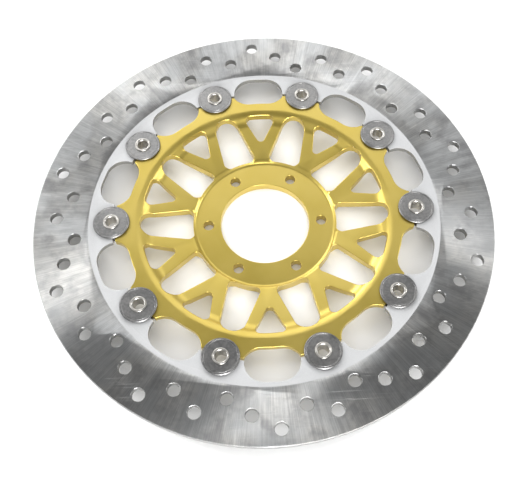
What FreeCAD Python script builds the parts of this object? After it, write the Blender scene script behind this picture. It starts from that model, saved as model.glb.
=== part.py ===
import FreeCAD, Part
import math
import os

import Sketcher
from FreeCAD import Placement, Rotation, Vector

# Floating brake disc for a motorcycle, in millimetres.
# The origin is the centre of the hub's back face, +Z points to the outer side of the wheel and
# +X runs through the first bobbin and the first bolt hole.
#
# A dished aluminium carrier bolts to the wheel hub. A stainless friction ring surrounds it. Ten
# hollow bobbins sit half in the carrier's lugs and half in the ring's lugs: they carry the braking
# force and leave the ring free to float a little along the axis.

doc = FreeCAD.newDocument("brake_disc")

DIMENSIONS = [
    # centre of the carrier
    ("bore_radius", 29.0, "centre bore that locates on the wheel hub"),
    ("edge_break", 0.5, "chamfer on the bore and on the bolt holes"),
    ("hub_height", 6.0, "thickness of the flat hub"),
    ("hub_flat_radius", 45.3, "outer radius of the hub's flat top"),
    ("hub_back_radius", 47.6, "outer radius of the hub's flat back"),
    ("bolt_circle_radius", 37.0, "radius of the bolt circle"),
    ("bolt_hole_radius", 3.25, "clearance hole for a 6 mm bolt"),
    ("bolt_count", 6, "bolt holes"),
    # spokes and outer band of the carrier
    ("spoke_root_radius", 48.2, "radius where the spokes' top starts"),
    ("spoke_root_top", 8.75, "height of the spokes' top at the root"),
    ("spoke_root_back_radius", 50.6, "radius where the spokes' back starts"),
    ("spoke_root_back", 3.0, "height of the spokes' back at the root"),
    ("spoke_end_radius", 75.2, "radius where the spokes meet the rise to the band"),
    ("spoke_end_top", 11.45, "height of the spokes' top at the outer end"),
    ("spoke_end_back", 5.7, "height of the spokes' back at the outer end"),
    ("band_radius", 81.0, "inner radius of the flat outer band"),
    ("band_top", 15.75, "height of the band's top"),
    ("band_back", 11.2, "height of the band's back"),
    ("carrier_lug_radius", 96.6, "outer radius of the carrier's lugs"),
    ("step_round", 2.4, "fillet at the foot of the step from hub to spoke"),
    ("band_round", 10.0, "fillets of the rise from spoke to band"),
    ("lug_count", 10, "lugs, bobbins and windows"),
    # gaps between the carrier's lugs, measured from the axis midway between two lugs
    ("gap_round", 12.0, "corner radius of a gap"),
    ("gap_corner_x", 101.1, "corner centre, out from the disc's centre"),
    ("gap_corner_y", 6.65, "corner centre, across"),
    ("gap_mouth", 97.4, "distance at which a gap's cutting outline closes"),
    # large windows, on the axis of a bobbin
    ("window_foot_x", 50.1, "corner centre of a window's inner end"),
    ("window_foot_y", 6.95, "corner centre of a window's inner end, across"),
    ("window_foot_round", 3.6, "corner radius of a window's inner end"),
    ("window_head_x", 72.6, "centre of a window's round outer end"),
    ("window_head_round", 8.05, "radius of a window's round outer end"),
    # small three-cornered windows, midway between two bobbins
    ("vee_tip_x", 64.2, "centre of the inner corner"),
    ("vee_tip_round", 2.7, "radius of the inner corner"),
    ("vee_corner_x", 76.5, "centre of an outer corner"),
    ("vee_corner_y", 6.2, "centre of an outer corner, across"),
    ("vee_corner_round", 3.0, "radius of an outer corner"),
    # friction ring
    ("ring_radius", 148.0, "outer radius of the disc"),
    ("face_inner_radius", 113.4, "inner radius of the ground pad faces"),
    ("ring_lug_radius", 98.2, "inner radius of the ring's lugs"),
    ("face_back", 11.5, "height of the back pad face"),
    ("face_front", 16.0, "height of the front pad face"),
    ("face_step", 0.5, "depth by which the lugs lie below each pad face"),
    ("face_slope", 1.2, "width of the sloped step down to the lugs"),
    ("rim_break", 0.4, "chamfer on the ring's rim"),
    ("scallop_round", 12.0, "corner radius of a scallop between two ring lugs"),
    ("scallop_corner_x", 98.2, "corner centre, out from the disc's centre"),
    ("scallop_corner_y", 4.9, "corner centre, across"),
    ("scallop_mouth", 94.5, "distance at which a scallop's cutting outline closes"),
    # drilled holes of the friction ring, in groups that follow the bobbins
    ("vent_radius", 4.0, "radius of a drilled hole"),
    ("vent_break", 0.3, "chamfer of a drilled hole"),
    ("vent_group", 5, "holes in a group"),
    ("vent_first_angle", 4.9, "angle of a group's first hole after its bobbin"),
    ("vent_first_circle", 122.0, "radius at which the first hole lies"),
    ("vent_circle_step", 8.0, "how much further out each next hole lies"),
    ("vent_circle_wrap", 20.0, "width of the band that the holes stay in"),
    # bobbins
    ("bobbin_circle_radius", 98.4, "radius of the circle of bobbins"),
    ("bobbin_radius", 7.5, "shank of a bobbin"),
    ("seat_clearance", 0.06, "running clearance of a shank in its seat"),
    ("bobbin_bore", 3.2, "radius of the hole through a bobbin"),
    ("bobbin_head_radius", 11.0, "head flange behind the lugs"),
    ("bobbin_head_back", 9.3, "height of the head flange's back"),
    ("bobbin_head_front", 11.1, "height of the head flange's front"),
    ("bobbin_shoulder", 15.9, "height of the shank's shoulder"),
    ("bobbin_neck_radius", 4.2, "neck inside the washers"),
    ("lip_radius", 5.2, "outer radius of the rolled lip"),
    ("lip_top", 18.45, "height of the rolled lip's top"),
    ("lip_round", 0.45, "rounding of the rolled lip"),
    # washers
    ("washer_bore", 4.3, "radius of the hole in both washers"),
    ("washer_radius", 11.6, "outer radius of a flat washer"),
    ("washer_back", 16.5, "height of a flat washer's back"),
    ("washer_front", 17.6, "height of a flat washer's front"),
    ("washer_break", 0.35, "chamfer of a flat washer's front edge"),
    ("wave_radius", 10.9, "outer radius of a wave washer"),
    ("wave_thickness", 0.3, "thickness of a wave washer's strip"),
    ("wave_clearance", 0.02, "space left above and below a wave washer"),
    ("wave_count", 3, "waves in one turn"),
]

dims = doc.addObject("Spreadsheet::Sheet", "dims")
for row, (alias, number, meaning) in enumerate(DIMENSIONS, start=1):
    dims.set(f"A{row}", meaning)
    dims.set(f"B{row}", str(number))
    dims.setAlias(f"B{row}", alias)
doc.recompute()


def value(expression):
    """The number that an expression over the sheet has now."""
    return float(dims.evalExpression(expression))


# ---------------------------------------------------------------- sketches


def origin_feature(body, role):
    """A body's own origin plane or axis."""
    return next(f for f in body.Origin.OriginFeatures if f.Role == role)


def new_sketch(body, name, plane, turn="0"):
    """An empty sketch on an origin plane of its body, turned about the plane's normal."""
    sketch = body.newObject("Sketcher::SketchObject", name)
    sketch.AttachmentSupport = [(origin_feature(body, plane), "")]
    sketch.MapMode = "FlatFace"
    sketch.AttachmentOffset = Placement(Vector(), Rotation(Vector(0, 0, 1), value(turn)))
    sketch.setExpression("AttachmentOffset.Rotation.Angle", turn)
    return sketch


def bind(sketch, kind, expression, *where):
    """A driving dimension of a sketch, bound to the sheet."""
    index = sketch.addConstraint(Sketcher.Constraint(kind, *where, value(expression)))
    sketch.setExpression(f"Constraints[{index}]", expression)


def pin(sketch, element, point, x, y):
    """Holds a point of the sketch at (x, y), each an expression, or on an axis where it is 0."""
    if x == "0":
        sketch.addConstraint(Sketcher.Constraint("PointOnObject", element, point, -2))
    else:
        bind(sketch, "DistanceX", x, -1, 1, element, point)
    if y == "0":
        sketch.addConstraint(Sketcher.Constraint("PointOnObject", element, point, -1))
    else:
        bind(sketch, "DistanceY", y, -1, 1, element, point)


def join(sketch, kind, first, first_point, second, second_point):
    """Joins two ends, as Coincident or Tangent."""
    sketch.addConstraint(Sketcher.Constraint(kind, first, first_point, second, second_point))


def polygon(sketch, corners):
    """A closed outline of straight sides. Each corner is a pair of expressions."""
    points = [Vector(value(x), value(y), 0) for x, y in corners]
    count = len(points)
    for i in range(count):
        sketch.addGeometry(Part.LineSegment(points[i], points[(i + 1) % count]), False)
    for i in range(count):
        join(sketch, "Coincident", i, 2, (i + 1) % count, 1)
    for i, (x, y) in enumerate(corners):
        pin(sketch, i, 1, x, y)


def circle(sketch, x, y, radius):
    """A circle whose centre and radius are expressions."""
    centre = Vector(value(x), value(y), 0)
    index = sketch.addGeometry(Part.Circle(centre, Vector(0, 0, 1), value(radius)), False)
    pin(sketch, index, 3, x, y)
    bind(sketch, "Radius", radius, index)


def arc(sketch, centre, radius, start, end):
    """An arc that runs anticlockwise from one angle to another, in radians."""
    round_edge = Part.ArcOfCircle(Part.Circle(centre, Vector(0, 0, 1), radius), start, end)
    return sketch.addGeometry(round_edge, False)


def line(sketch, start, end):
    """A straight side between two points."""
    return sketch.addGeometry(Part.LineSegment(start, end), False)


def end_of(sketch, element):
    """Where an edge of the sketch starts and where it ends."""
    edge = sketch.Geometry[element]
    return edge.StartPoint, edge.EndPoint


def scoop(sketch, corner_x, corner_y, corner_round, mouth, outwards):
    """The outline that clears the space between two lugs: two corner arcs that run into an arc
    about the disc's centre. The lugs' ring lies outside a scallop and inside a gap."""
    centre = Vector(value(corner_x), value(corner_y), 0)
    mirrored = Vector(centre.x, -centre.y, 0)
    radius = value(corner_round)
    lean = math.atan2(centre.y, centre.x)
    mouth_angle = math.acos((value(mouth) - centre.x) / radius)
    full_turn = 2 * math.pi
    if outwards:
        upper = arc(sketch, centre, radius, lean, mouth_angle)
        middle = arc(sketch, Vector(), centre.Length + radius, -lean, lean)
        lower = arc(sketch, mirrored, radius, full_turn - mouth_angle, full_turn - lean)
        upper_touch, upper_mouth, lower_touch, lower_mouth = 1, 2, 2, 1
    else:
        upper = arc(sketch, centre, radius, mouth_angle, math.pi + lean)
        middle = arc(sketch, Vector(), centre.Length - radius, -lean, lean)
        lower = arc(sketch, mirrored, radius, math.pi - lean, full_turn - mouth_angle)
        upper_touch, upper_mouth, lower_touch, lower_mouth = 2, 1, 1, 2
    opening = line(
        sketch,
        end_of(sketch, upper)[upper_mouth - 1],
        end_of(sketch, lower)[lower_mouth - 1],
    )
    join(sketch, "Tangent", upper, upper_touch, middle, 2)
    join(sketch, "Tangent", lower, lower_touch, middle, 1)
    join(sketch, "Coincident", middle, 3, -1, 1)
    join(sketch, "Coincident", upper, upper_mouth, opening, 1)
    join(sketch, "Coincident", lower, lower_mouth, opening, 2)
    sketch.addConstraint(Sketcher.Constraint("Vertical", opening))
    sketch.addConstraint(Sketcher.Constraint("Vertical", upper, 3, lower, 3))
    sketch.addConstraint(Sketcher.Constraint("Equal", upper, lower))
    pin(sketch, upper, 3, corner_x, corner_y)
    bind(sketch, "Radius", corner_round, upper)
    bind(sketch, "DistanceX", mouth, -1, 1, opening, 1)


def side_angle(near, near_radius, far, far_radius):
    """Direction of the line that touches two circles on their upper sides."""
    across = far - near
    return math.atan2(across.y, across.x) + math.asin((far_radius - near_radius) / across.Length)


def window_outline(sketch):
    """A large window: an inner side that follows the hub, two straight sides that draw together
    and a round outer end."""
    foot = Vector(value("dims.window_foot_x"), value("dims.window_foot_y"), 0)
    foot_low = Vector(foot.x, -foot.y, 0)
    foot_round = value("dims.window_foot_round")
    head = Vector(value("dims.window_head_x"), 0, 0)
    head_round = value("dims.window_head_round")
    lean = math.atan2(foot.y, foot.x)
    slope = side_angle(foot, foot_round, head, head_round)
    normal = slope + math.pi / 2
    upper = arc(sketch, foot, foot_round, normal, math.pi + lean)
    inner = arc(sketch, Vector(), foot.Length - foot_round, -lean, lean)
    lower = arc(sketch, foot_low, foot_round, math.pi - lean, 2 * math.pi - normal)
    outer = arc(sketch, head, head_round, -normal, normal)
    upper_side = line(sketch, end_of(sketch, upper)[0], end_of(sketch, outer)[1])
    lower_side = line(sketch, end_of(sketch, lower)[1], end_of(sketch, outer)[0])
    join(sketch, "Tangent", upper, 2, inner, 2)
    join(sketch, "Tangent", lower, 1, inner, 1)
    join(sketch, "Tangent", upper, 1, upper_side, 1)
    join(sketch, "Tangent", lower, 2, lower_side, 1)
    join(sketch, "Tangent", outer, 2, upper_side, 2)
    join(sketch, "Tangent", outer, 1, lower_side, 2)
    join(sketch, "Coincident", inner, 3, -1, 1)
    sketch.addConstraint(Sketcher.Constraint("Vertical", upper, 3, lower, 3))
    sketch.addConstraint(Sketcher.Constraint("Equal", upper, lower))
    pin(sketch, upper, 3, "dims.window_foot_x", "dims.window_foot_y")
    pin(sketch, outer, 3, "dims.window_head_x", "0")
    bind(sketch, "Radius", "dims.window_foot_round", upper)
    bind(sketch, "Radius", "dims.window_head_round", outer)


def vee_outline(sketch):
    """A three-cornered window: a round tip towards the hub and an outer side about the centre."""
    tip = Vector(value("dims.vee_tip_x"), 0, 0)
    tip_round = value("dims.vee_tip_round")
    corner = Vector(value("dims.vee_corner_x"), value("dims.vee_corner_y"), 0)
    corner_low = Vector(corner.x, -corner.y, 0)
    corner_round = value("dims.vee_corner_round")
    lean = math.atan2(corner.y, corner.x)
    normal = side_angle(tip, tip_round, corner, corner_round) + math.pi / 2
    upper = arc(sketch, corner, corner_round, lean, normal)
    outer = arc(sketch, Vector(), corner.Length + corner_round, -lean, lean)
    lower = arc(sketch, corner_low, corner_round, 2 * math.pi - normal, 2 * math.pi - lean)
    inner = arc(sketch, tip, tip_round, normal, 2 * math.pi - normal)
    upper_side = line(sketch, end_of(sketch, inner)[0], end_of(sketch, upper)[1])
    lower_side = line(sketch, end_of(sketch, inner)[1], end_of(sketch, lower)[0])
    join(sketch, "Tangent", upper, 1, outer, 2)
    join(sketch, "Tangent", lower, 2, outer, 1)
    join(sketch, "Tangent", upper, 2, upper_side, 2)
    join(sketch, "Tangent", lower, 1, lower_side, 2)
    join(sketch, "Tangent", inner, 1, upper_side, 1)
    join(sketch, "Tangent", inner, 2, lower_side, 1)
    join(sketch, "Coincident", outer, 3, -1, 1)
    sketch.addConstraint(Sketcher.Constraint("Vertical", upper, 3, lower, 3))
    sketch.addConstraint(Sketcher.Constraint("Equal", upper, lower))
    pin(sketch, upper, 3, "dims.vee_corner_x", "dims.vee_corner_y")
    pin(sketch, inner, 3, "dims.vee_tip_x", "0")
    bind(sketch, "Radius", "dims.vee_corner_round", upper)
    bind(sketch, "Radius", "dims.vee_tip_round", inner)


# ---------------------------------------------------------------- features


def new_body(name):
    """An empty body whose label is the sub-part's name."""
    body = doc.addObject("PartDesign::Body", name)
    body.Label = name
    return body


def turn_section(body, name, corners):
    """Turns a section of radius and height pairs about the body's Z axis."""
    section = new_sketch(body, f"{name}_section", "XZ_Plane")
    polygon(section, corners)
    turned = body.newObject("PartDesign::Revolution", name)
    turned.Profile = section
    turned.ReferenceAxis = (origin_feature(body, "Z_Axis"), [""])
    turned.Angle = 360
    doc.recompute()
    return turned


def require_cut(body, before, name):
    """Stops the build if a cut took nothing away."""
    if not body.Shape.Volume < before - 0.01:
        raise RuntimeError(f"{name} took nothing from {body.Label}")


def cut_around(body, name, draw, count, turn="0"):
    """Cuts a sketched outline right through, and repeats the cut around the axis."""
    before = body.Shape.Volume
    outline = new_sketch(body, f"{name}_outline", "XY_Plane", turn)
    draw(outline)
    pocket = body.newObject("PartDesign::Pocket", name)
    pocket.Profile = outline
    pocket.Type = "ThroughAll"
    pocket.Reversed = True
    doc.recompute()
    require_cut(body, before, name)
    before = body.Shape.Volume
    pattern = body.newObject("PartDesign::PolarPattern", f"{name}_pattern")
    pattern.Originals = [pocket]
    pattern.Axis = (origin_feature(body, "Z_Axis"), [""])
    pattern.Angle = 360
    pattern.setExpression("Occurrences", count)
    body.Tip = pattern
    doc.recompute()
    require_cut(body, before, f"{name}_pattern")


def circular_edges(feature, radius, heights):
    """Names of a feature's circular edges that have this radius, at any of the heights."""
    names = []
    for number, edge in enumerate(feature.Shape.Edges, start=1):
        if not isinstance(edge.Curve, Part.Circle):
            continue
        same_radius = abs(edge.Curve.Radius - radius) < 0.001
        if same_radius and any(abs(edge.Curve.Center.z - height) < 0.001 for height in heights):
            names.append(f"Edge{number}")
    return names


def dress(body, kind, name, edges, size):
    """A fillet or a chamfer on named edges of the body's last feature."""
    if not edges:
        raise RuntimeError(f"{name} found no edges on {body.Label}")
    base = body.Tip
    feature = body.newObject(f"PartDesign::{kind}", name)
    feature.Base = (base, edges)
    feature.setExpression("Radius" if kind == "Fillet" else "Size", size)
    doc.recompute()
    return feature


# ---------------------------------------------------------------- carrier


def make_carrier():
    """Dished aluminium centre with Y-shaped spokes and ten lugs."""
    body = new_body("carrier")
    turn_section(
        body,
        "dish",
        [
            ("dims.bore_radius + dims.edge_break", "0"),
            ("dims.hub_back_radius", "0"),
            ("dims.spoke_root_back_radius", "dims.spoke_root_back"),
            ("dims.spoke_end_radius", "dims.spoke_end_back"),
            ("dims.band_radius", "dims.band_back"),
            ("dims.carrier_lug_radius", "dims.band_back"),
            ("dims.carrier_lug_radius", "dims.band_top"),
            ("dims.band_radius", "dims.band_top"),
            ("dims.spoke_end_radius", "dims.spoke_end_top"),
            ("dims.spoke_root_radius", "dims.spoke_root_top"),
            ("dims.hub_flat_radius", "dims.hub_height"),
            ("dims.bore_radius + dims.edge_break", "dims.hub_height"),
            ("dims.bore_radius", "dims.hub_height - dims.edge_break"),
            ("dims.bore_radius", "dims.edge_break"),
        ],
    )
    step_foot = circular_edges(body.Tip, value("dims.hub_flat_radius"), [value("dims.hub_height")])
    dress(body, "Fillet", "step_fillet", step_foot, "dims.step_round")
    rise = circular_edges(
        body.Tip,
        value("dims.spoke_end_radius"),
        [value("dims.spoke_end_top"), value("dims.spoke_end_back")],
    )
    rise += circular_edges(
        body.Tip,
        value("dims.band_radius"),
        [value("dims.band_top"), value("dims.band_back")],
    )
    dress(body, "Fillet", "rise_fillet", rise, "dims.band_round")
    between_lugs = "180 / dims.lug_count"
    cut_around(body, "window", window_outline, "dims.lug_count")
    cut_around(body, "vee_window", vee_outline, "dims.lug_count", between_lugs)
    cut_around(body, "gap", gap_outline, "dims.lug_count", between_lugs)
    cut_around(body, "seat", seat_outline, "dims.lug_count")
    cut_around(body, "bolt_hole", bolt_outline, "dims.bolt_count")
    holes = circular_edges(
        body.Tip, value("dims.bolt_hole_radius"), [0, value("dims.hub_height")]
    )
    dress(body, "Chamfer", "bolt_hole_break", holes, "dims.edge_break")
    return body


def gap_outline(sketch):
    """The space between two of the carrier's lugs."""
    scoop(sketch, "dims.gap_corner_x", "dims.gap_corner_y", "dims.gap_round", "dims.gap_mouth", False)


def seat_outline(sketch):
    """The round seat of a bobbin's shank, half in the carrier and half in the ring."""
    circle(sketch, "dims.bobbin_circle_radius", "0", "dims.bobbin_radius + dims.seat_clearance")


def bolt_outline(sketch):
    """One bolt hole."""
    circle(sketch, "dims.bolt_circle_radius", "0", "dims.bolt_hole_radius")


# ---------------------------------------------------------------- friction ring


def make_friction_ring():
    """Flat stainless ring with ground faces, drilled holes and ten lugs on its inner edge."""
    body = new_body("friction_ring")
    turn_section(
        body,
        "ring",
        [
            ("dims.ring_lug_radius", "dims.face_back + dims.face_step"),
            ("dims.face_inner_radius - dims.face_slope", "dims.face_back + dims.face_step"),
            ("dims.face_inner_radius", "dims.face_back"),
            ("dims.ring_radius - dims.rim_break", "dims.face_back"),
            ("dims.ring_radius", "dims.face_back + dims.rim_break"),
            ("dims.ring_radius", "dims.face_front - dims.rim_break"),
            ("dims.ring_radius - dims.rim_break", "dims.face_front"),
            ("dims.face_inner_radius", "dims.face_front"),
            ("dims.face_inner_radius - dims.face_slope", "dims.face_front - dims.face_step"),
            ("dims.ring_lug_radius", "dims.face_front - dims.face_step"),
        ],
    )
    cut_around(body, "scallop", scallop_outline, "dims.lug_count", "180 / dims.lug_count")
    cut_around(body, "seat", seat_outline, "dims.lug_count")
    cut_around(body, "vent", vent_outline, "dims.lug_count")
    rims = circular_edges(
        body.Tip,
        value("dims.vent_radius"),
        [value("dims.face_back"), value("dims.face_front")],
    )
    dress(body, "Chamfer", "vent_break", rims, "dims.vent_break")
    return body


def scallop_outline(sketch):
    """The space between two of the ring's lugs."""
    scoop(
        sketch,
        "dims.scallop_corner_x",
        "dims.scallop_corner_y",
        "dims.scallop_round",
        "dims.scallop_mouth",
        True,
    )


def vent_outline(sketch):
    """One group of drilled holes, each further round than the last, in a zigzag of radii."""
    for i in range(int(value("dims.vent_group"))):
        radius = (
            "(dims.vent_first_circle + "
            f"mod({i} * dims.vent_circle_step; dims.vent_circle_wrap))"
        )
        angle = f"(dims.vent_first_angle + {i} * 360 / dims.lug_count / dims.vent_group)"
        circle(sketch, f"{radius} * cos({angle})", f"{radius} * sin({angle})", "dims.vent_radius")


# ---------------------------------------------------------------- bobbins and washers


def place_on_circle(sub_part, index):
    """Moves a sub-part that was made about the origin to its bobbin's place."""
    angle = 360.0 / value("dims.lug_count") * index
    turned = Rotation(Vector(0, 0, 1), angle)
    out = turned.multVec(Vector(value("dims.bobbin_circle_radius"), 0, 0))
    sub_part.Placement = Placement(out, turned)


def make_bobbin(index):
    """Hollow drive rivet: head flange, shank, neck and rolled lip."""
    body = new_body(f"bobbin_{index + 1:02d}")
    turn_section(
        body,
        f"bobbin_turned_{index + 1:02d}",
        [
            ("dims.bobbin_bore", "dims.bobbin_head_back"),
            ("dims.bobbin_head_radius - dims.washer_break", "dims.bobbin_head_back"),
            ("dims.bobbin_head_radius", "dims.bobbin_head_back + dims.washer_break"),
            ("dims.bobbin_head_radius", "dims.bobbin_head_front"),
            ("dims.bobbin_radius", "dims.bobbin_head_front"),
            ("dims.bobbin_radius", "dims.bobbin_shoulder"),
            ("dims.bobbin_neck_radius", "dims.bobbin_shoulder"),
            ("dims.bobbin_neck_radius", "dims.washer_front"),
            ("dims.lip_radius", "dims.washer_front"),
            ("dims.lip_radius", "dims.lip_top"),
            ("dims.bobbin_bore", "dims.lip_top"),
        ],
    )
    lip = circular_edges(body.Tip, value("dims.lip_radius"), [value("dims.lip_top")])
    lip += circular_edges(body.Tip, value("dims.bobbin_bore"), [value("dims.lip_top")])
    dress(body, "Fillet", f"lip_fillet_{index + 1:02d}", lip, "dims.lip_round")
    place_on_circle(body, index)
    return body


def make_washer(index):
    """Flat washer that the rolled lip holds."""
    body = new_body(f"washer_{index + 1:02d}")
    turn_section(
        body,
        f"washer_turned_{index + 1:02d}",
        [
            ("dims.washer_bore", "dims.washer_back"),
            ("dims.washer_radius", "dims.washer_back"),
            ("dims.washer_radius", "dims.washer_front - dims.washer_break"),
            ("dims.washer_radius - dims.washer_break", "dims.washer_front"),
            ("dims.washer_bore", "dims.washer_front"),
        ],
    )
    place_on_circle(body, index)
    return body


def wave_curve(radius, middle_height, swing):
    """A closed curve about the Z axis that rises and falls once for each wave."""
    waves = int(value("dims.wave_count"))
    steps = 8 * waves
    points = []
    for i in range(steps):
        angle = 2 * math.pi * i / steps
        height = middle_height + swing * math.cos(waves * angle)
        points.append(Vector(radius * math.cos(angle), radius * math.sin(angle), height))
    curve = Part.BSplineCurve()
    curve.interpolate(Points=points, PeriodicFlag=True)
    return curve.toShape()


def make_wave_washer(index):
    """Wave spring between the lugs and the flat washer: a thin ring that bends up and down."""
    low = value("dims.bobbin_shoulder + dims.wave_clearance")
    high = value("dims.washer_back - dims.wave_clearance")
    thickness = value("dims.wave_thickness")
    swing = (high - low - thickness) / 2
    edges = {}
    for side, radius in (("inner", value("dims.washer_bore")), ("outer", value("dims.wave_radius"))):
        edges[side, "back"] = wave_curve(radius, low + swing, swing)
        edges[side, "front"] = wave_curve(radius, low + swing + thickness, swing)
    faces = [
        Part.makeRuledSurface(edges["inner", "back"], edges["outer", "back"]),
        Part.makeRuledSurface(edges["inner", "front"], edges["outer", "front"]),
        Part.makeRuledSurface(edges["inner", "back"], edges["inner", "front"]),
        Part.makeRuledSurface(edges["outer", "back"], edges["outer", "front"]),
    ]
    shell = Part.makeShell([face for surface in faces for face in surface.Faces])
    shell.sewShape()
    solid = Part.makeSolid(shell)
    if solid.Volume < 0:
        solid.reverse()
    name = f"wave_washer_{index + 1:02d}"
    washer = doc.addObject("Part::Feature", name)
    washer.Label = name
    washer.Shape = solid
    place_on_circle(washer, index)
    return washer


# ---------------------------------------------------------------- the whole disc


def make_all():
    """Builds every sub-part and returns them."""
    sub_parts = [make_carrier(), make_friction_ring()]
    for index in range(int(value("dims.lug_count"))):
        sub_parts.append(make_bobbin(index))
        sub_parts.append(make_washer(index))
        sub_parts.append(make_wave_washer(index))
    doc.recompute()
    return sub_parts


def check(sub_parts):
    """Stops before anything is written if an object failed or a shape is unsound."""
    for item in doc.Objects:
        if "Invalid" in item.State or "Error" in item.State:
            raise RuntimeError(f"{item.Label} did not recompute: {item.State}")
    for item in sub_parts:
        shape = item.Shape
        if shape.isNull() or not shape.isValid() or len(shape.Solids) != 1:
            raise RuntimeError(f"{item.Label} is not one sound solid")


def write(sub_parts):
    """Writes one STEP file for each sub-part."""
    os.makedirs("parts", exist_ok=True)
    for item in sub_parts:
        item.Shape.exportStep(f"parts/{item.Label}.step")
        box = item.Shape.BoundBox
        print(
            f"{item.Label}: {item.Shape.Volume:.1f} mm3, "
            f"z {box.ZMin:.2f} to {box.ZMax:.2f}, across {box.XLength:.2f} by {box.YLength:.2f}"
        )


disc = make_all()
check(disc)
write(disc)
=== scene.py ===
# %% [markdown]
# # A floating front brake disc
#
# The disc has four kinds of part. A gold anodised carrier bolts to the wheel. A stainless ring
# is gripped by the pads. Ten hollow rivets, called bobbins, drive the ring from the carrier, and
# a flat washer and a wave spring sit under the rolled lip of each one.
#
# The frame gives each part's true size and place, so nothing here is placed by eye. Everything is
# in metres, with Z along the axle and zero at the hub's back face.

# %% Tools and the frame
import bmesh
import bpy
import math
from mathutils import Matrix, Vector


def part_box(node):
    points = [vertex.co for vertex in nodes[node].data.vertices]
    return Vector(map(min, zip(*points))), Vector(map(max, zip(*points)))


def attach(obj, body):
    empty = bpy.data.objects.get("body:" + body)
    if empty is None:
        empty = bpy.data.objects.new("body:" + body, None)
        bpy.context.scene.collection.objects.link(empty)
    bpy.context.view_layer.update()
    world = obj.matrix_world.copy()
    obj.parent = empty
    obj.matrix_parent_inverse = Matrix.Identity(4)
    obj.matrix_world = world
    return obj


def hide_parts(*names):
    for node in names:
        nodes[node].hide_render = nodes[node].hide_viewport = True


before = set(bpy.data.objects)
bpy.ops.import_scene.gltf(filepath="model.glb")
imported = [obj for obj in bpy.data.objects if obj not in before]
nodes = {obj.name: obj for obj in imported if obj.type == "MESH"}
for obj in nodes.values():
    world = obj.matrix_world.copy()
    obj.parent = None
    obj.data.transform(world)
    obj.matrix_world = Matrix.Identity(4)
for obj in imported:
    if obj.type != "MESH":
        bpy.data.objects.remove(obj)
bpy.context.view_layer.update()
MM = 0.001


# %% [markdown]
# ## Materials as small node trees
#
# Metal looks real when its roughness and its fine bumps change over the surface. Each finish here
# is one Principled shader with a few noise textures in front of it. Noise reads Object
# coordinates, which are the metres of the frame, so a scale of 1000 is about a millimetre.
#
# A short helper that adds a node and links it keeps each recipe readable.

# %% Helpers for node trees
def add_node(tree, kind, inputs=None, **settings):
    """A node with its settings, its inputs given as constants or as sockets to link."""
    node = tree.nodes.new(kind)
    for name, setting in settings.items():
        setattr(node, name, setting)
    for name, given in (inputs or {}).items():
        if isinstance(given, bpy.types.NodeSocket):
            tree.links.new(given, node.inputs[name])
        else:
            node.inputs[name].default_value = given
    return node


def maths(tree, operation, first, second):
    """The result of one sum on two numbers or sockets."""
    inputs = {0: first, 1: second}
    return add_node(tree, "ShaderNodeMath", inputs, operation=operation).outputs[0]


def blend_colours(tree, share, first, second):
    """Two colours mixed by a share between 0 and 1."""
    inputs = {"Factor": share, 6: first, 7: second}
    return add_node(tree, "ShaderNodeMix", inputs, data_type="RGBA").outputs[2]


def stretch(tree, number, low, high, to_low=0.0, to_high=1.0):
    """A number moved from one range to another, and held inside it."""
    inputs = {"Value": number, "From Min": low, "From Max": high, "To Min": to_low, "To Max": to_high}
    return add_node(tree, "ShaderNodeMapRange", inputs, clamp=True).outputs[0]


def noise(tree, where, scale, detail=3.0, roughness=0.55):
    """Cloudy noise between 0 and 1, centred on one half."""
    inputs = {"Vector": where, "Scale": scale, "Detail": detail, "Roughness": roughness}
    return add_node(tree, "ShaderNodeTexNoise", inputs).outputs["Fac"]


def rgb(red, green, blue):
    """A linear colour with its alpha."""
    return (red, green, blue, 1.0)


def new_finish(name, metallic, **constants):
    """A material with one Principled shader, and the coordinates its noise reads."""
    finish = bpy.data.materials.new(name)
    finish.use_nodes = True
    tree = finish.node_tree
    shader = tree.nodes["Principled BSDF"]
    shader.inputs["Metallic"].default_value = metallic
    for socket, number in constants.items():
        shader.inputs[socket.replace("_", " ")].default_value = number
    place = add_node(tree, "ShaderNodeTexCoord").outputs["Object"]
    return finish, tree, shader, place


def bump(tree, shader, height, depth):
    """Fine relief: a height between 0 and 1, and how deep it is in metres."""
    inputs = {"Height": height, "Distance": depth, "Strength": 1.0}
    relief = add_node(tree, "ShaderNodeBump", inputs)
    tree.links.new(relief.outputs["Normal"], shader.inputs["Normal"])


# %% [markdown]
# ## Worn edges, with painted edge highlights
#
# A handled metal part is brighter where its edges have rubbed, and a rounded edge also catches
# the light. The finishes paint their edges paler: partly wear, partly a painted highlight. The
# Bevel node gives the normal that the surface would have if its edges were rounded. Where that
# differs from the true normal there is an edge close by, so the difference is a ready-made mask
# of the edges.

# %% Mask of the edges
ON_A_FLAT, ON_AN_EDGE = 0.94, 0.76


def edge_mask(tree, radius):
    """1 on edges and 0 on flats, from a rounded normal against the true one."""
    rounded = add_node(tree, "ShaderNodeBevel", {"Radius": radius}, samples=4).outputs["Normal"]
    true = add_node(tree, "ShaderNodeNewGeometry").outputs["Normal"]
    agree = add_node(
        tree, "ShaderNodeVectorMath", {0: rounded, 1: true}, operation="DOT_PRODUCT"
    ).outputs["Value"]
    return stretch(tree, agree, ON_A_FLAT, ON_AN_EDGE)


# %% [markdown]
# ## Polar coordinates for a ground ring
#
# The pad faces were ground with a wheel that left fine grooves along the radius. A noise that is
# squeezed round the ring and long along the radius draws them. Its coordinates are the direction
# from the centre, which closes on itself after a turn and so has no seam, and the distance out.

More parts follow.
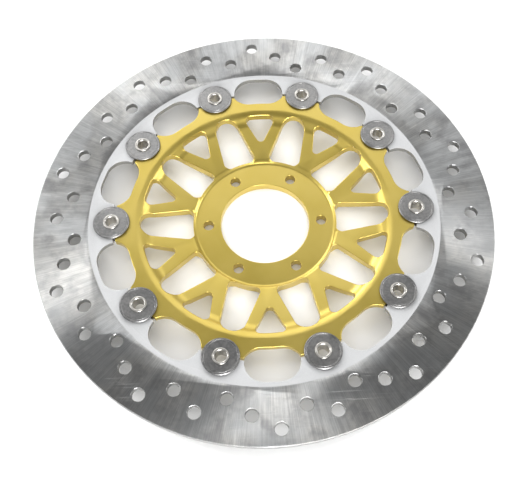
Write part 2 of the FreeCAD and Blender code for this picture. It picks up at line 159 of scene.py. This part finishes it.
# %% Direction and distance from the axle
def polar(tree, place, round_scale, outward_scale):
    """Noise coordinates that vary fast around the axle and slowly along the radius."""
    flat = add_node(
        tree, "ShaderNodeVectorMath", {0: place, 1: (1.0, 1.0, 0.0)}, operation="MULTIPLY"
    ).outputs[0]
    length = add_node(tree, "ShaderNodeVectorMath", {0: flat}, operation="LENGTH").outputs["Value"]
    way = add_node(tree, "ShaderNodeVectorMath", {0: flat}, operation="NORMALIZE").outputs[0]
    parts = add_node(tree, "ShaderNodeSeparateXYZ", {0: way})
    inputs = {
        "X": maths(tree, "MULTIPLY", parts.outputs[0], round_scale),
        "Y": maths(tree, "MULTIPLY", parts.outputs[1], round_scale),
        "Z": maths(tree, "MULTIPLY", length, outward_scale),
    }
    return add_node(tree, "ShaderNodeCombineXYZ", inputs).outputs[0]


# %% [markdown]
# ## Ground stainless for the pad faces
#
# Real grinding grooves scatter light across themselves and hardly at all along themselves, which
# is what the shader's Anisotropic value does. Its tangent runs round the axle. Handling marks
# show as soft patches of different roughness over the grooves.

# %% Scratches across the grooves
def scratches(tree, place, turn, where_scale):
    """Thin lines in one direction, only in some patches: 1 on a scratch and 0 elsewhere."""
    inputs = {"Vector": place, "Rotation": (0.0, 0.0, math.radians(turn)), "Scale": (24.0, 1500.0, 1.0)}
    laid = add_node(tree, "ShaderNodeMapping", inputs).outputs[0]
    lines = stretch(tree, noise(tree, laid, 1.0, 2.0), 0.60, 0.70)
    here = stretch(tree, noise(tree, place, where_scale, 2.0), 0.54, 0.64)
    return maths(tree, "MULTIPLY", lines, here)


# %% Ground stainless
def make_ground_steel():
    """Steel with grooves along the radius, handling patches, stains and a few scratches."""
    finish, tree, shader, place = new_finish("ground_stainless", 1.0, Anisotropic=1.0)
    tangent = add_node(tree, "ShaderNodeTangent", direction_type="RADIAL", axis="Z")
    tree.links.new(tangent.outputs[0], shader.inputs["Tangent"])
    fine = noise(tree, polar(tree, place, 150.0, 9.0), 2.2, 4.0, 0.65)
    broad = noise(tree, polar(tree, place, 26.0, 60.0), 1.3, 4.0, 0.6)
    patches = noise(tree, place, 38.0, 4.0, 0.55)
    stains = noise(tree, place, 75.0, 4.0, 0.6)
    streaks = maths(tree, "ADD", maths(tree, "MULTIPLY", fine, 0.6), maths(tree, "MULTIPLY", broad, 0.4))
    marks = maths(tree, "MAXIMUM", scratches(tree, place, 20.0, 22.0), scratches(tree, place, -48.0, 27.0))
    cloudy = stretch(tree, patches, 0.4, 0.6)
    warm = blend_colours(tree, cloudy, rgb(0.52, 0.53, 0.53), rgb(0.62, 0.615, 0.59))
    shade = blend_colours(tree, stretch(tree, streaks, 0.40, 0.62, 0.0, 0.6), warm, rgb(0.28, 0.28, 0.285))
    stained = blend_colours(tree, stretch(tree, stains, 0.50, 0.66, 0.0, 0.6), shade, rgb(0.30, 0.30, 0.31))
    scratched = blend_colours(tree, maths(tree, "MULTIPLY", marks, 0.3), stained, rgb(0.78, 0.78, 0.77))
    # Edges painted paler: partly rubbed wear, partly a painted highlight.
    rubbed_and_highlit_edges = blend_colours(tree, edge_mask(tree, 0.0004), scratched, rgb(0.82, 0.82, 0.81))
    tree.links.new(rubbed_and_highlit_edges, shader.inputs["Base Color"])
    base = stretch(tree, streaks, 0.35, 0.65, 0.36, 0.48)
    soft = stretch(tree, patches, 0.38, 0.62, -0.07, 0.09)
    tree.links.new(maths(tree, "ADD", base, soft), shader.inputs["Roughness"])
    bump(tree, shader, maths(tree, "SUBTRACT", streaks, maths(tree, "MULTIPLY", marks, 0.3)), 0.00006)
    return finish


ground_steel = make_ground_steel()
print("made", ground_steel.name)


# %% [markdown]
# ## Blasted stainless for the ring's lugs
#
# The step inside the pad faces is machined, then blasted to an even matte grey. There are no
# grooves here, only a fine grain in all directions.

# %% Blasted and bored stainless
def make_plain_steel(name, colour, tint, roughness, grain, metallic=1.0):
    """Steel between two colours, with a grain of the given scale and no direction."""
    finish, tree, shader, place = new_finish(name, metallic)
    cloud = noise(tree, place, 40.0)
    speckle = noise(tree, place, grain, 2.0)
    grainy = maths(tree, "ADD", cloud, speckle)
    body = blend_colours(tree, stretch(tree, grainy, 0.75, 1.25), colour, tint)
    # Edges painted paler: partly rubbed wear, partly a painted highlight.
    worn_and_highlit_edges = blend_colours(tree, edge_mask(tree, 0.0003), body, rgb(0.85, 0.85, 0.85))
    tree.links.new(worn_and_highlit_edges, shader.inputs["Base Color"])
    rough = stretch(tree, grainy, 0.7, 1.3, roughness - 0.05, roughness + 0.07)
    tree.links.new(rough, shader.inputs["Roughness"])
    bump(tree, shader, speckle, 0.00001)
    return finish


lug_steel = make_plain_steel(
    "blasted_stainless", rgb(0.45, 0.455, 0.46), rgb(0.50, 0.505, 0.51), 0.58, 1400.0, 0.5
)
wall_steel = make_plain_steel(
    "bored_stainless", rgb(0.36, 0.36, 0.355), rgb(0.44, 0.44, 0.43), 0.48, 900.0
)
washer_steel = make_plain_steel(
    "satin_washer_steel", rgb(0.25, 0.25, 0.25), rgb(0.37, 0.365, 0.36), 0.38, 700.0
)
spring_steel = make_plain_steel(
    "spring_steel", rgb(0.20, 0.20, 0.20), rgb(0.27, 0.26, 0.25), 0.36, 900.0
)
bobbin_steel = make_plain_steel(
    "nickel_bobbin_steel", rgb(0.56, 0.545, 0.51), rgb(0.66, 0.64, 0.60), 0.35, 700.0
)


# %% [markdown]
# ## Gold anodising
#
# Anodising is a dyed glassy layer on aluminium. A metal tinted gold gives the body of the colour,
# and a thin clear coat gives the sheen. The edges are painted paler, partly because the dye is
# thinner there and partly as a painted highlight.

# %% Gold anodised aluminium
def make_gold():
    """A gold metal body under a thin clear coat."""
    finish, tree, shader, place = new_finish(
        "gold_anodised_aluminium", 0.92, Coat_Weight=0.5, Coat_Roughness=0.2
    )
    cloud = noise(tree, place, 30.0, 3.0)
    grain = noise(tree, place, 420.0, 2.0)
    cloudy = stretch(tree, cloud, 0.35, 0.65)
    body = blend_colours(tree, cloudy, rgb(0.62, 0.47, 0.092), rgb(0.66, 0.51, 0.12))
    # Edges painted paler: partly thinner dye, partly a painted highlight.
    pale_dye_and_highlit_edges = blend_colours(tree, edge_mask(tree, 0.0005), body, rgb(0.93, 0.83, 0.50))
    tree.links.new(pale_dye_and_highlit_edges, shader.inputs["Base Color"])
    sheen = stretch(tree, cloud, 0.35, 0.65, 0.305, 0.36)
    rough = maths(tree, "ADD", sheen, stretch(tree, grain, 0.3, 0.7, -0.01, 0.015))
    tree.links.new(rough, shader.inputs["Roughness"])
    bump(tree, shader, grain, 0.000004)
    return finish


gold = make_gold()
print("made", len(bpy.data.materials), "finishes")


# %% [markdown]
# ## The carrier and the ring
#
# A CAD mesh is loose triangles with knife-sharp edges. Light only runs along an edge that has
# some width, so the carrier gets a copy whose triangles are merged and whose sharp edges are
# broken by a Bevel modifier. The Weighted Normal modifier keeps the flats flat in the shading.
#
# The ring is drawn with its chamfers already, so it only needs its triangles merged and its
# faces given to three finishes: ground pad faces, blasted lugs and bored walls.

# %% A clean copy of a CAD node
MERGE_DISTANCE = 2e-6
FLAT_WITHIN = math.radians(0.8)


def clean_copy(node, name):
    """A merged copy of a CAD node's mesh, as a new object at the origin."""
    shape = bmesh.new()
    shape.from_mesh(nodes[node].data)
    bmesh.ops.remove_doubles(shape, verts=shape.verts, dist=MERGE_DISTANCE)
    bmesh.ops.dissolve_limit(
        shape, angle_limit=FLAT_WITHIN, verts=shape.verts, edges=shape.edges, delimit=set()
    )
    mesh = bpy.data.meshes.new(name)
    shape.to_mesh(mesh)
    shape.free()
    mesh.polygons.foreach_set("use_smooth", [True] * len(mesh.polygons))
    piece = bpy.data.objects.new(name, mesh)
    bpy.context.scene.collection.objects.link(piece)
    return piece


def weighted_normals(piece):
    """Flat faces shade flat, and the bevels between them take the turn."""
    shading = piece.modifiers.new("flat_faces", "WEIGHTED_NORMAL")
    shading.keep_sharp = True
    shading.weight = 60


# %% Which edges of the carrier are broken, and how far
def weigh_edges(piece, sharp_from, low_share):
    """Full bevel weight on sharp edges, and less low on the hub, where narrow steps meet."""
    shape = bmesh.new()
    shape.from_mesh(piece.data)
    weight = shape.edges.layers.float.new("bevel_weight_edge")
    for edge in shape.edges:
        if edge.is_manifold and edge.calc_face_angle() > sharp_from:
            low = min(vertex.co.z for vertex in edge.verts) < HUB_STEP_TOP
            edge[weight] = low_share if low else 1.0
    shape.to_mesh(piece.data)
    shape.free()


# %% The carrier
HUB_STEP_TOP = 3.5 * MM
SHARP_FROM = math.radians(50)
LOW_SHARE = 0.3
carrier = clean_copy("carrier", "carrier_finished")
weigh_edges(carrier, SHARP_FROM, LOW_SHARE)
carrier.data.materials.append(gold)
edge_break = carrier.modifiers.new("edge_break", "BEVEL")
edge_break.width = 0.45 * MM
edge_break.segments = 2
edge_break.limit_method = "WEIGHT"
edge_break.use_clamp_overlap = False
edge_break.miter_outer = "MITER_SHARP"
weighted_normals(carrier)
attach(carrier, "carrier")
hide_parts("carrier")
print("carrier:", len(carrier.data.polygons), "faces before its bevel")

# %% The friction ring
ring = clean_copy("friction_ring", "friction_ring_finished")
for finish in (ground_steel, lug_steel, wall_steel):
    ring.data.materials.append(finish)
ring_low, ring_high = (corner.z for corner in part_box("friction_ring"))
PAD_INNER = 113.0 * MM
PAD_WITHIN = 0.02 * MM
PAD, LUG, WALL = range(3)
for face in ring.data.polygons:
    upright = abs(face.normal.z)
    face.use_smooth = upright < 0.999
    on_pad = min(abs(face.center.z - ring_low), abs(face.center.z - ring_high)) < PAD_WITHIN
    far_out = math.hypot(face.center.x, face.center.y) > PAD_INNER
    if upright > 0.9 and on_pad:
        face.material_index = PAD
    elif upright > 0.2:
        face.material_index = PAD if far_out else LUG
    else:
        face.material_index = WALL
ring.data.set_sharp_from_angle(angle=math.radians(20))
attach(ring, "ring")
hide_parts("friction_ring")
print("ring:", len(ring.data.polygons), "faces")


# %% [markdown]
# ## Turned parts
#
# Bobbins and washers are turned on a lathe, and the Screw modifier works like one: it spins a
# profile about Z. A profile is drawn at +X from top to bottom and back up, and a Bevel modifier
# then rounds its corners. The stack works about the object's own origin, so it is
# applied there first, and the finished mesh is then moved to each of the ten places.

# %% A lathe
TURN_STEPS = 96


def turned(name, profile, round_width, round_segments=3):
    """A mesh turned from a closed profile of (radius, height) pairs in millimetres."""
    mesh = bpy.data.meshes.new(name)
    points = [(radius * MM, 0.0, height * MM) for radius, height in profile]
    count = len(points)
    mesh.from_pydata(points, [(i, (i + 1) % count) for i in range(count)], [])
    blank = bpy.data.objects.new(name, mesh)
    bpy.context.scene.collection.objects.link(blank)
    lathe = blank.modifiers.new("lathe", "SCREW")
    lathe.steps = lathe.render_steps = TURN_STEPS
    lathe.use_merge_vertices = True
    lathe.merge_threshold = 1e-6
    lathe.use_smooth_shade = True
    corners = blank.modifiers.new("rounded_corners", "BEVEL")
    corners.width = round_width * MM
    corners.segments = round_segments
    corners.limit_method = "ANGLE"
    corners.angle_limit = math.radians(30)
    weighted_normals(blank)
    finished = bpy.data.meshes.new_from_object(blank.evaluated_get(bpy.context.evaluated_depsgraph_get()))
    bpy.data.objects.remove(blank)
    return finished


# %% [markdown]
# The bobbin is hollow. Its end is rolled outwards over the washer: the mouth flares, the crest is
# round, and the lip's edge curls back down and stops just over the washer, which leaves
# the dark line seen round it. The washer's face has a fine groove inside its rim. The wave spring
# is a flat strip that a cosine bends into three waves.

# %% Profiles in the bobbin's own place
bobbin_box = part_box("bobbin_01")
washer_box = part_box("washer_01")
wave_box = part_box("wave_washer_01")
BOBBIN_CENTRE = (bobbin_box[0].x + bobbin_box[1].x) / 2
HEAD_BACK, LIP_TOP = bobbin_box[0].z / MM, bobbin_box[1].z / MM
HEAD_RADIUS = (bobbin_box[1].y - bobbin_box[0].y) / 2 / MM
WASHER_BACK, WASHER_FRONT = washer_box[0].z / MM, washer_box[1].z / MM
WASHER_RADIUS = (washer_box[1].y - washer_box[0].y) / 2 / MM
print(f"bobbins on a radius of {BOBBIN_CENTRE / MM:.1f} mm, lip to {LIP_TOP:.2f} mm")

bobbin_profile = [
    (4.00, LIP_TOP - 0.10),
    (4.45, LIP_TOP),
    (4.95, LIP_TOP - 0.12),
    (5.20, LIP_TOP - 0.42),
    (5.05, WASHER_FRONT + 0.12),
    (4.20, WASHER_FRONT + 0.02),
    (4.20, 15.90),
    (7.50, 15.90),
    (7.50, 11.10),
    (HEAD_RADIUS, 11.10),
    (HEAD_RADIUS, HEAD_BACK + 0.35),
    (HEAD_RADIUS - 0.35, HEAD_BACK),
    (3.70, HEAD_BACK),
    (3.20, HEAD_BACK + 0.50),
    (3.20, LIP_TOP - 1.30),
    (3.45, LIP_TOP - 0.60),
]
washer_profile = [
    (4.75, WASHER_FRONT),
    (WASHER_RADIUS - 1.65, WASHER_FRONT),
    (WASHER_RADIUS - 1.55, WASHER_FRONT - 0.22),
    (WASHER_RADIUS - 1.20, WASHER_FRONT - 0.22),
    (WASHER_RADIUS - 1.10, WASHER_FRONT),
    (WASHER_RADIUS - 0.50, WASHER_FRONT),
    (WASHER_RADIUS, WASHER_FRONT - 0.45),
    (WASHER_RADIUS, WASHER_BACK + 0.15),
    (WASHER_RADIUS - 0.15, WASHER_BACK),
    (4.30, WASHER_BACK),
    (4.30, WASHER_FRONT - 0.45),
]
bobbin_mesh = turned("bobbin_blank", bobbin_profile, 0.10)
washer_mesh = turned("washer_blank", washer_profile, 0.10)


# %% The wave spring
def wave_spring_mesh():
    """A flat strip turned round the neck, bent into three waves, and kept in its box."""
    low, high = wave_box[0].z, wave_box[1].z
    thickness = 0.30 * MM
    swing = (high - low - thickness) / 2
    back = low / MM
    strip = [(10.9, back + 0.30), (10.9, back), (4.3, back), (4.3, back + 0.30)]
    mesh = turned("wave_spring_blank", strip, 0.05, 2)
    for vertex in mesh.vertices:
        angle = math.atan2(vertex.co.y, vertex.co.x)
        vertex.co.z += swing * (1 + math.cos(3 * angle))
    return mesh


spring_mesh = wave_spring_mesh()
print("blank faces:", len(bobbin_mesh.polygons), len(washer_mesh.polygons), len(spring_mesh.polygons))


# %% Ten of each, placed on the bobbin circle
def place_copy(blank, name, number, finish, node):
    """A copy of a finished blank, put in its place in the mesh, riding on its bobbin's body."""
    mesh = blank.copy()
    angle = math.radians(36 * (number - 1))
    mesh.transform(Matrix.Rotation(angle, 4, "Z") @ Matrix.Translation((BOBBIN_CENTRE, 0.0, 0.0)))
    mesh.materials.clear()
    mesh.materials.append(finish)
    piece = bpy.data.objects.new(name, mesh)
    bpy.context.scene.collection.objects.link(piece)
    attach(piece, f"bobbin_{number:02d}")
    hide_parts(node)


for number in range(1, 11):
    tag = f"{number:02d}"
    place_copy(bobbin_mesh, f"bobbin_turned_{tag}", number, bobbin_steel, f"bobbin_{tag}")
    place_copy(washer_mesh, f"washer_turned_{tag}", number, washer_steel, f"washer_{tag}")
    place_copy(spring_mesh, f"wave_spring_{tag}", number, spring_steel, f"wave_washer_{tag}")
print("placed 30 turned pieces")


# %% [markdown]
# ## Table, light and camera
#
# Polished metal shows its surroundings, so the lights are laid out as a photographer would: a
# broad soft panel behind with a narrow bright one beside it, one at each side, one low in front,
# and a dark space straight above. The grooves in the pad faces turn each panel into a bright fan,
# and the gaps between panels into dark ones. The overhead fill lights the paper and is hidden from
# mirror reflections. The table lies a tenth of a millimetre low, so that no face shares its plane.

# %% The table
floor_mesh = bpy.data.meshes.new("table")
FLOOR_HALF = 4.0
TABLE_TOP = -0.0001
corners = [(-1, -1), (1, -1), (1, 1), (-1, 1)]
floor_mesh.from_pydata([(x * FLOOR_HALF, y * FLOOR_HALF, TABLE_TOP) for x, y in corners], [], [(0, 1, 2, 3)])
floor = bpy.data.objects.new("table", floor_mesh)
bpy.context.scene.collection.objects.link(floor)
paper, paper_tree, paper_shader, paper_place = new_finish("white_paper", 0.0)
paper_cloud = noise(paper_tree, paper_place, 6.0)
paper_tone = blend_colours(paper_tree, paper_cloud, rgb(0.80, 0.80, 0.795), rgb(0.82, 0.82, 0.82))
paper_tree.links.new(paper_tone, paper_shader.inputs["Base Color"])
paper_shader.inputs["Roughness"].default_value = 0.9
floor_mesh.materials.append(paper)


# %% Light panels
def panel(name, azimuth, elevation, distance, size, brightness):
    """A soft panel that faces the disc from a direction in degrees, as bright as asked."""
    light = bpy.data.lights.new(name, "AREA")
    light.shape = "RECTANGLE"
    light.size, light.size_y = size
    light.energy = brightness * math.pi * size[0] * size[1]
    lamp = bpy.data.objects.new(name, light)
    bpy.context.scene.collection.objects.link(lamp)
    flat = math.cos(math.radians(elevation))
    way = Vector((
        flat * math.cos(math.radians(azimuth)),
        flat * math.sin(math.radians(azimuth)),
        math.sin(math.radians(elevation)),
    ))
    lamp.location = way * distance
    lamp.rotation_euler = (-way).to_track_quat("-Z", "Y").to_euler()
    return lamp


panel("back_panel", 90, 33, 1.6, (1.4, 1.6), 1.04)
panel("back_strip", 117, 26, 1.5, (0.46, 0.7), 5.2)
panel("left_strip", 164, 37, 1.4, (0.20, 0.6), 15.0)
panel("right_strip", 16, 37, 1.4, (0.18, 0.6), 13.0)
panel("front_strip", 277, 24, 1.5, (0.56, 0.8), 17.0)
overhead = panel("overhead_fill", 90, 88, 1.5, (3.0, 3.0), 1.25)
overhead.visible_glossy = False


# %% The room: paler low down, darker straight above
world = bpy.data.worlds.new("studio")
bpy.context.scene.world = world
world.use_nodes = True
room = world.node_tree
direction = add_node(room, "ShaderNodeTexCoord").outputs["Generated"]
height = add_node(room, "ShaderNodeSeparateXYZ", {0: direction}).outputs[2]
glow = stretch(room, height, 0.86, 0.98, 0.42, 0.10)
background = room.nodes["Background"]
background.inputs["Color"].default_value = rgb(1.0, 1.0, 1.0)
room.links.new(glow, background.inputs["Strength"])
bpy.context.scene.view_settings.view_transform = "Standard"


# %% The camera
CAMERA_PLACE = Vector((-0.00146, -0.23906, 0.45355))
CAMERA_AIM = Vector((0.01443, -0.01950, 0.01600))
CAMERA_ROLL = math.radians(0.74)
camera_data = bpy.data.cameras.new("camera")
camera = bpy.data.objects.new("camera", camera_data)
bpy.context.scene.collection.objects.link(camera)
bpy.context.scene.camera = camera
camera_data.sensor_width = 36.0
camera_data.lens = 53.042
camera_data.shift_x = -0.0523
camera_data.shift_y = 0.0050
look = (CAMERA_AIM - CAMERA_PLACE).to_track_quat("-Z", "Y").to_matrix().to_4x4()
camera.matrix_world = Matrix.Translation(CAMERA_PLACE) @ look @ Matrix.Rotation(CAMERA_ROLL, 4, "Z")
